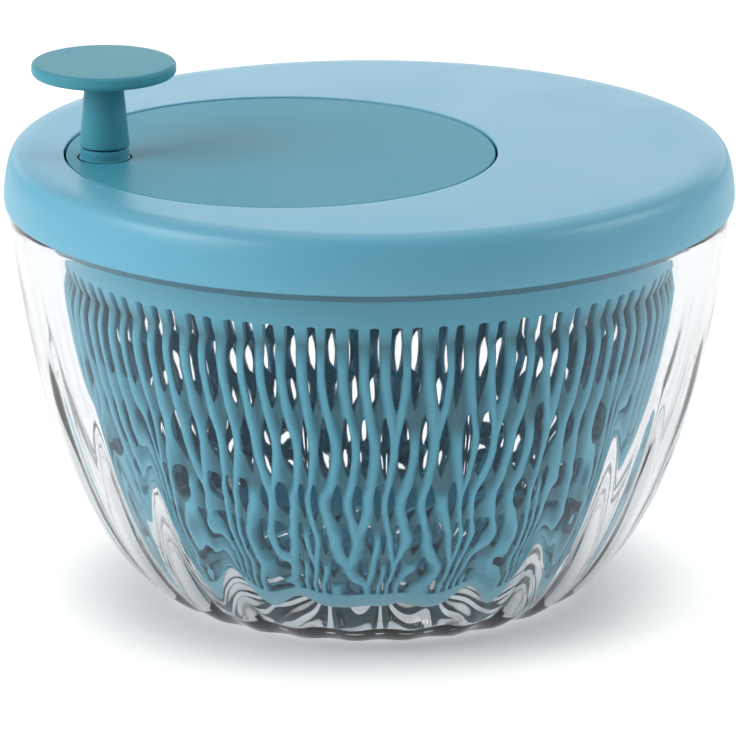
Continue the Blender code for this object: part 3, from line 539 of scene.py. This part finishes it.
def make_basket():
    """The lattice: raised strands that wander round pointed slots, row under row, half a pitch apart.

    Each row has one slot and one rib a column. Below each rib the strand leans to one side, and joins the
    rib on that side in the row beneath.
    """
    shift, width, lean = lattice_layout()
    half = ACROSS // 2
    shape = bmesh.new()
    hollow = shape.verts.layers.float.new("hollow")

    def tip(row, column):
        """Where a row's slot has its tips. The column may run past either end."""
        return column + 0.5 * (row % 2) + (shift[row, column % COLUMNS] if 0 <= row < ROWS else 0.0)

    def rib(row, column):
        """The middle of the rib after a column's slot."""
        return (tip(row, column) + tip(row, column + 1)) / 2

    def near_crossings(row, place):
        """How far from a place the strands near it cross their row's lower edge."""
        columns = range(math.floor(place) - 2, math.floor(place) + 3)
        found = [rib(row, column) + STRAND_LEAN * lean[row, column % COLUMNS] - place for column in columns]
        return [offset for offset in found if abs(offset) < STRAND_REACH]

    def point(place, z, height):
        radius = side_at(BASKET_TABLE, z) - STRAND_HEIGHT * (1 - height)
        angle = place * TAU / COLUMNS
        made = shape.verts.new((radius * math.cos(angle), radius * math.sin(angle), z))
        # how deep the point is sunk, which the basket's material turns into painted shade
        made[hollow] = 1 - height
        return made

    def edge_points(edge, z):
        """Points where two rows meet: both rows' tips in turn, with more spaced evenly between them."""
        marks = []
        for column in range(COLUMNS):
            marks += sorted((tip(edge, column), tip(edge - 1, column)))
        made = []
        for mark, after in zip(marks, marks[1:] + [marks[0] + COLUMNS]):
            for k in range(half):
                place = mark + (after - mark) * k / half
                height = highest(near_crossings(edge - 1, place)) if 0 < edge < ROWS else 1.0
                made.append(point(place, z, height))
        return made

    def rib_points(row, column):
        """Points on one rib, in lines down its row, between the slots on its two sides."""
        left, right, middle = tip(row, column), tip(row, column + 1), rib(row, column)
        left_width = SLOT_HALF_WIDTHS[row] * width[row, column]
        right_width = SLOT_HALF_WIDTHS[row] * width[row, (column + 1) % COLUMNS]
        incoming = near_crossings(row - 1, middle) if row else []
        outgoing = STRAND_LEAN * lean[row, column] if row < ROWS - 1 else 0.0
        early = TOP_ROW_SHIFT if row == 0 else 0.0
        made = []
        for step in range(1, ALONG):
            t = (step - early) / (ALONG - early)
            opening = math.sin(math.pi * t) ** SLOT_FULLNESS
            if row == 0 and t < 0.5:
                opening = max(opening, TOP_ROW_WIDTH)
            low, high = left + left_width * opening, right - right_width * opening
            z = ROW_EDGES[row] + (ROW_EDGES[row + 1] - ROW_EDGES[row]) * t
            places = [low + (high - low) * k / ACROSS for k in range(ACROSS + 1)]
            made.append([point(place, z, rib_height(row, t, place - middle, incoming, outgoing))
                         for place in places])
        return made

    edges = [edge_points(edge, z) for edge, z in enumerate(ROW_EDGES)]
    count = COLUMNS * ACROSS
    for row in range(ROWS):
        for column in range(COLUMNS):
            start = column * ACROSS + half * (row % 2)
            ends = [[edges[edge][(start + k) % count] for k in range(ACROSS + 1)] for edge in (row, row + 1)]
            grid = [ends[0], *rib_points(row, column), ends[1]]
            for above, below in zip(grid, grid[1:]):
                for k in range(ACROSS):
                    shape.faces.new((above[k], below[k], below[k + 1], above[k + 1]))
    finish_basket_shape(shape, edges[0], edges[-1])
    basket = new_piece("basket_wall", mesh_of(shape, "basket_wall"), "basket", "basket", "basket")
    wall = basket.modifiers.new("wall", "SOLIDIFY")
    wall.thickness = BASKET_WALL
    wall.offset = -1.0
    smooth(basket, SOFTER)


def finish_basket_shape(shape, top, bottom):
    """The plain band above the lattice, and the rounded corner and slotted floor below it."""
    angles = [math.atan2(vertex.co.y, vertex.co.x) for vertex in top]

    def matching_ring(radius, z):
        return [shape.verts.new((radius * math.cos(a), radius * math.sin(a), z)) for a in angles]

    upper = top
    for inset, z in BAND_RINGS:
        above = matching_ring(side_at(BASKET_TABLE, z) - inset, z)
        bridge(shape, above, upper)
        upper = above
    lower = bottom
    below_lattice = [(side_at(BASKET_TABLE, z), z) for z in CORNER_HEIGHTS]
    for radius, z in below_lattice + [(FLOOR_RADIUS, FLOOR_Z), (FLOOR_SLOTS_TO, FLOOR_Z)]:
        below = matching_ring(radius, z)
        bridge(shape, lower, below)
        lower = below
    within = matching_ring(FLOOR_SLOTS_FROM, FLOOR_Z)
    for i in range(len(top)):
        j = (i + 1) % len(top)
        turn = i * FLOOR_SLOTS / len(top)
        if turn - math.floor(turn) >= FLOOR_SLOT_SHARE:
            shape.faces.new((lower[i], within[i], within[j], lower[j]))
    bridge(shape, within, matching_ring(0.5 * HUB_RADIUS, FLOOR_Z))


def make_hub():
    """The hub over the pivot foot."""
    low, foot_radius = FLOOR_Z + 0.0006, HUB_RADIUS + HUB_FOOT
    profile = [(0.0, HUB_TOP), (HUB_RADIUS - 0.0012, HUB_TOP)]
    profile += arc((HUB_RADIUS - HUB_CORNER, HUB_TOP - HUB_CORNER), HUB_CORNER, 90, 0, 6)
    profile += softened([(HUB_RADIUS, low + 0.004), (HUB_RADIUS + 0.0006, low + 0.0024),
                         (foot_radius, low + 0.0018)])
    profile += [(foot_radius, low), (0.0, low)]
    smooth(new_piece("basket_hub", turned_mesh("basket_hub", profile, 64), "basket", "basket"))


def make_lugs():
    """The lugs inside the basket's rim that the drive plate turns."""
    shape = bmesh.new()
    inner = side_at(BASKET_TABLE, LUG_TOP) - BASKET_WALL - LUG_REACH
    depth, width, height = LUG_SIZE
    for i in range(LUGS):
        lug = bmesh.ops.create_cube(shape, size=1.0)["verts"]
        for vertex in lug:
            x, y, z = vertex.co
            vertex.co = (inner + depth * (x + 0.5), width * y, LUG_TOP - height * (0.5 - z))
        bmesh.ops.rotate(shape, verts=lug, matrix=Matrix.Rotation(TAU * i / LUGS, 3, "Z"))
    bmesh.ops.bevel(shape, geom=shape.edges[:], offset=LUG_EDGE, segments=3, profile=0.5, affect="EDGES")
    smooth(new_piece("basket_lugs", mesh_of(shape, "basket_lugs"), "basket", "basket"))


# Lid: a shouldered shell with the crank disc sunk in its top.

LID_LOW, LID_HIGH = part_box("lid_cover")
LID_RADIUS = LID_HIGH.x
LID_TOP = LID_HIGH.z
LID_EDGE = LID_LOW.z
LID_LIP = 0.0008  # below the edge, hiding the gap over the bowl's rim
LID_FLAT = 0.1270
LID_UNDER = LID_TOP - 0.0026
LID_SHOULDER = (  # radius, and height from the lid's top
    (LID_FLAT, 0.0),
    (0.1290, 0.0),
    (0.1330, -0.0004),
    (0.1358, -0.0013),
    (0.1375, -0.0034),
    (0.1388, -0.0076),
    (0.1396, -0.0126),
    (LID_RADIUS, -0.0166),
    (LID_RADIUS, -0.0190),
)
LID_RIM = (
    (LID_RADIUS - 0.0003, LID_EDGE - 0.0006),
    (LID_RADIUS - 0.0007, LID_EDGE - LID_LIP),
    (LID_RADIUS - 0.0010, LID_EDGE - 0.0006),
    (LID_RADIUS - 0.0012, LID_EDGE),
)
LID_INSIDE = (
    (0.1346, LID_EDGE),
    (0.1372, LID_EDGE + 0.0014),
    (0.1364, LID_TOP - 0.0110),
    (0.1348, LID_TOP - 0.0048),
    (0.1320, LID_UNDER),
    (LID_FLAT, LID_UNDER),
)
ROUND = 288  # steps round the lid and the disc

DISC_LOW, DISC_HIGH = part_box("crank_disc")
DISC_RADIUS = (DISC_HIGH.x - DISC_LOW.x) / 2
DISC_X = (DISC_HIGH.x + DISC_LOW.x) / 2
DISC_TOP = LID_TOP - 0.0003
DISC_EDGE = 0.0007
DISC_FOOT_EDGE = 0.0002
OPENING_RADIUS = DISC_RADIUS + 0.0009
OPENING_EDGE = 0.0005
COLLAR_LOW = LID_TOP - 0.0110
COLLAR_EDGE = 0.0003
OPENING_COLLAR = (  # radius beyond the opening's, and height, from the outside in
    (0.0021, LID_UNDER),
    (0.0021, COLLAR_LOW + COLLAR_EDGE),
    (0.0018, COLLAR_LOW),
    (0.0008, COLLAR_LOW),
    (0.0005, COLLAR_LOW + COLLAR_EDGE),
    (0.0005, LID_UNDER),
    (0.0, LID_UNDER),
    (0.0, LID_TOP - OPENING_EDGE),
)
OPENING_FLAT = 0.0015
KNOB_COLLAR_RADIUS = 0.0093
KNOB_COLLAR_INNER = 0.0066
KNOB_COLLAR_CORNER = 0.0005
KNOB_COLLAR_FOOT = 0.0012
KNOB_COLLAR_SUNK = 0.0005


def make_lid():
    """The lid's shell: shoulder, rim, inside, and the collar and rounded edge of the disc's opening."""
    outline = softened([(r, LID_TOP + drop) for r, drop in LID_SHOULDER]) + [*LID_RIM, *LID_INSIDE]
    edge = arc((OPENING_EDGE, 0.0), OPENING_EDGE, 180, 90, 5)[1:]
    well = [*OPENING_COLLAR, *((r, LID_TOP - OPENING_EDGE + z) for r, z in edge), (OPENING_FLAT, LID_TOP)]
    shape = bmesh.new()
    rings = [ring(shape, r, z, ROUND) for r, z in outline]
    rings += [ring(shape, OPENING_RADIUS + r, z, ROUND, DISC_X) for r, z in well]
    for upper, lower in zip(rings, rings[1:] + rings[:1]):
        bridge(shape, upper, lower)
    smooth(new_piece("lid_shell", mesh_of(shape, "lid_shell"), "lid", "lid", "lid_cover"), SOFT)


def make_disc():
    """The crank disc, which turns in the lid's opening."""
    profile = [(0.0, DISC_TOP), (DISC_RADIUS - 2 * DISC_EDGE, DISC_TOP)]
    profile += arc((DISC_RADIUS - DISC_EDGE, DISC_TOP - DISC_EDGE), DISC_EDGE, 90, 0, 6)
    profile += [(DISC_RADIUS, DISC_LOW.z + DISC_FOOT_EDGE), (DISC_RADIUS - DISC_FOOT_EDGE, DISC_LOW.z),
                (0.0, DISC_LOW.z)]
    mesh = turned_mesh("disc_plate", profile, ROUND, DISC_X)
    smooth(new_piece("disc_plate", mesh, "crank_disc", "crank", "crank_disc"))


def make_knob_collar():
    """The collar on the crank disc round the foot of the knob's stem."""
    high, low = DISC_HIGH.z, DISC_TOP - KNOB_COLLAR_SUNK
    radius, inner, corner = KNOB_COLLAR_RADIUS, KNOB_COLLAR_INNER, KNOB_COLLAR_CORNER
    profile = [(inner, high), (radius - 0.0008, high)]
    profile += arc((radius - corner, high - corner), corner, 90, 0, 5)
    profile += softened([(radius, low + 0.0017), (radius, low + 0.0005),
                         (radius + KNOB_COLLAR_FOOT, low + 0.0005)])
    profile += [(radius + KNOB_COLLAR_FOOT, low), (inner, low)]
    mesh = turned_mesh("knob_collar", profile, KNOB_ROUND, KNOB_X, KNOB_Y, closed=True)
    smooth(new_piece("knob_collar", mesh, "crank_disc", "crank"))


# Knob: a thin round cap on a tapered stem.

CAP_LOW, CAP_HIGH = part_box("knob_cap")
CAP_RADIUS = (CAP_HIGH.x - CAP_LOW.x) / 2
KNOB_X, KNOB_Y = (CAP_LOW.x + CAP_HIGH.x) / 2, (CAP_LOW.y + CAP_HIGH.y) / 2
CAP_THICKNESS = 0.0050
CAP_UPPER_EDGE = 0.0014
CAP_UNDER_EDGE = 0.0020
CAP_EDGE_POINTS = 8
CAP_ROUND = 192
STEM_LOW, STEM_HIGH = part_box("knob_stem")
STEM_BASE = (STEM_HIGH.x - STEM_LOW.x) / 2
STEM_TOP = 0.0073
STEM_FLARE = 0.0010
STEM_EDGE = 0.0006
STEM_BORE = 0.0034
KNOB_ROUND = 96


def make_cap():
    top, low = CAP_HIGH.z, CAP_HIGH.z - CAP_THICKNESS
    upper, under = CAP_UPPER_EDGE, CAP_UNDER_EDGE
    profile = [(0.0, top), (CAP_RADIUS - 2 * upper, top)]
    profile += arc((CAP_RADIUS - upper, top - upper), upper, 90, 0, CAP_EDGE_POINTS)
    profile += arc((CAP_RADIUS - under, low + under), under, 0, -90, CAP_EDGE_POINTS)
    profile += [(CAP_RADIUS - 3 * under, low), (0.0, low)]
    mesh = turned_mesh("cap_plate", profile, CAP_ROUND, KNOB_X, KNOB_Y)
    smooth(new_piece("cap_plate", mesh, "knob", "knob", "knob_cap"), SOFTER)


def make_stem():
    """The stem: flared below the cap, widening towards its foot, and bored for the axle."""
    high, low = STEM_HIGH.z, STEM_LOW.z
    flare = STEM_TOP + STEM_FLARE
    profile = [(STEM_BORE, high), (flare, high)]
    profile += softened([(flare, high - 0.0003), (STEM_TOP + 0.0002, high - 0.0008),
                         (STEM_TOP, high - 0.0025), (flare, (high + low) / 2), (STEM_BASE, low + STEM_EDGE)])
    profile += arc((STEM_BASE - STEM_EDGE, low + STEM_EDGE), STEM_EDGE, 0, -90, 5)[1:]
    profile += [(STEM_BORE, low)]
    mesh = turned_mesh("stem_body", profile, KNOB_ROUND, KNOB_X, KNOB_Y, closed=True)
    smooth(new_piece("stem_body", mesh, "knob", "knob", "knob_stem"), SOFTER)


# Studio: a world that is bright behind the object, a pale glowing floor with a painted shadow round the
# bowl's foot, softboxes and the camera.

WORLD_COLOUR = (0.93, 0.97, 1.0, 1.0)
WORLD_FRONT = 0.10
WORLD_BACK = 0.85
HORIZON_TOP = 0.18
HORIZON_LEVEL = 0.12
FLOOR_SIZE = 6.0
FLOOR_DROP = 0.0002
FLOOR_COLOUR = (0.45, 0.45, 0.45)
FLOOR_ROUGHNESS = 0.6
FLOOR_GLOW = 0.68
FAR_FROM = 1.4
FAR_TO = 3.5
FAR_LEVEL = 0.5
# painted contact shadow: the floor's glow dips in a soft ring round the bowl's foot
PAINTED_SHADOW_STOPS = ((0.068, 1.0), (0.086, 0.42), (0.140, 1.0))  # distance from the axis, and share of the glow
BOXES = (  # name, place, aim, width, height and watts
    ("overhead", (0.0, 0.6, 1.9), (0.0, 0.0, 0.1), 2.4, 1.8, 1.5),
    ("behind", (0.0, 0.80, 0.30), (0.0, 0.0, 0.17), 1.4, 0.25, 1.6),
    ("left", (-1.25, -0.58, 0.95), (0.0, 0.0, 0.12), 1.0, 0.8, 19.0),
    ("right", (1.45, -0.05, 0.95), (0.0, 0.0, 0.12), 0.9, 0.8, 11.0),
)


def make_world():
    """Light from all round: weak in front, strong behind, and dimmed near the horizon."""
    world = bpy.data.worlds.new("studio")
    bpy.context.scene.world = world
    world.use_nodes = True
    background = world.node_tree.nodes["Background"]
    background.inputs["Color"].default_value = WORLD_COLOUR
    place = add_node(world, "ShaderNodeTexCoord")
    facing = add_node(world, "ShaderNodeVectorMath", "DOT_PRODUCT")
    facing.inputs[1].default_value = turned_to_view(0.0, 1.0)
    link(world, place, "Generated", facing, 0)
    fall = add_range(world, facing, "Value", WORLD_FRONT, WORLD_BACK, From_Min=-1.0)
    split = add_node(world, "ShaderNodeSeparateXYZ")
    link(world, place, "Generated", split, 0)
    horizon = add_range(world, split, "Z", HORIZON_LEVEL, 1.0, From_Max=HORIZON_TOP)
    link(world, add_product(world, fall, horizon), "Value", background, "Strength")


def make_floor():
    """A pale floor. It fades with distance, and glows except in a soft ring round the bowl's foot, where a
    contact shadow is painted.
    """
    mesh = bpy.data.meshes.new("floor")
    size = FLOOR_SIZE
    corners = [(-size, -size, 0), (size, -size, 0), (size, size, 0), (-size, size, 0)]
    mesh.from_pydata(corners, [], [(0, 1, 2, 3)])
    floor = bpy.data.objects.new("floor", mesh)
    floor.location.z = -FLOOR_DROP
    bpy.context.scene.collection.objects.link(floor)
    white, shader = principled("white floor", FLOOR_COLOUR, FLOOR_ROUGHNESS)
    shader.inputs["Emission Strength"].default_value = FLOOR_GLOW
    where = add_node(white, "ShaderNodeTexCoord")
    reach = add_node(white, "ShaderNodeVectorMath", "LENGTH")
    link(white, where, "Object", reach, 0)
    far = add_range(white, reach, "Value", 1.0, FAR_LEVEL, From_Min=FAR_FROM, From_Max=FAR_TO)
    # Painted contact shadow: the glow is dimmed in a ring round the bowl's foot.
    near = add_node(white, "ShaderNodeValToRGB")
    near.color_ramp.interpolation = "EASE"
    stops = near.color_ramp.elements
    for distance, level in PAINTED_SHADOW_STOPS:
        stops.new(distance).color = (level, level, level, 1.0)
    stops[0].color = (1.0, 1.0, 1.0, 1.0)
    link(white, reach, "Value", near, "Fac")
    add_shade(white, FLOOR_COLOUR, far, shader, "Base Color")
    add_shade(white, (1.0, 1.0, 1.0), add_product(white, far, near), shader, "Emission Color")
    mesh.materials.append(white)


def make_softbox(name, place, aim, width, height, watts):
    light = bpy.data.lights.new(name, "AREA")
    light.shape = "RECTANGLE"
    light.size = width
    light.size_y = height
    light.energy = watts
    made = bpy.data.objects.new(name, light)
    place, aim = turned_to_view(*place), turned_to_view(*aim)
    made.location = place
    made.rotation_euler = (aim - place).to_track_quat("-Z", "Y").to_euler()
    bpy.context.scene.collection.objects.link(made)


def make_camera():
    camera = bpy.data.objects.new("camera", bpy.data.cameras.new("camera"))
    aim = turned_to_view(*CAMERA_AIM)
    away = turned_to_view(0.0, -math.cos(CAMERA_ELEVATION), math.sin(CAMERA_ELEVATION))
    camera.location = aim + CAMERA_DISTANCE * away
    camera.rotation_euler = (-away).to_track_quat("-Z", "Y").to_euler()
    camera.data.lens = CAMERA_LENS
    camera.data.clip_end = CAMERA_REACH
    bpy.context.scene.collection.objects.link(camera)
    bpy.context.scene.camera = camera


bpy.context.scene.view_settings.view_transform = "Standard"
make_camera()
make_world()
make_floor()
for box in BOXES:
    make_softbox(*box)
finish_cad_nodes()
make_bowl()
make_basket()
make_hub()
make_lugs()
make_lid()
make_disc()
make_knob_collar()
make_cap()
make_stem()
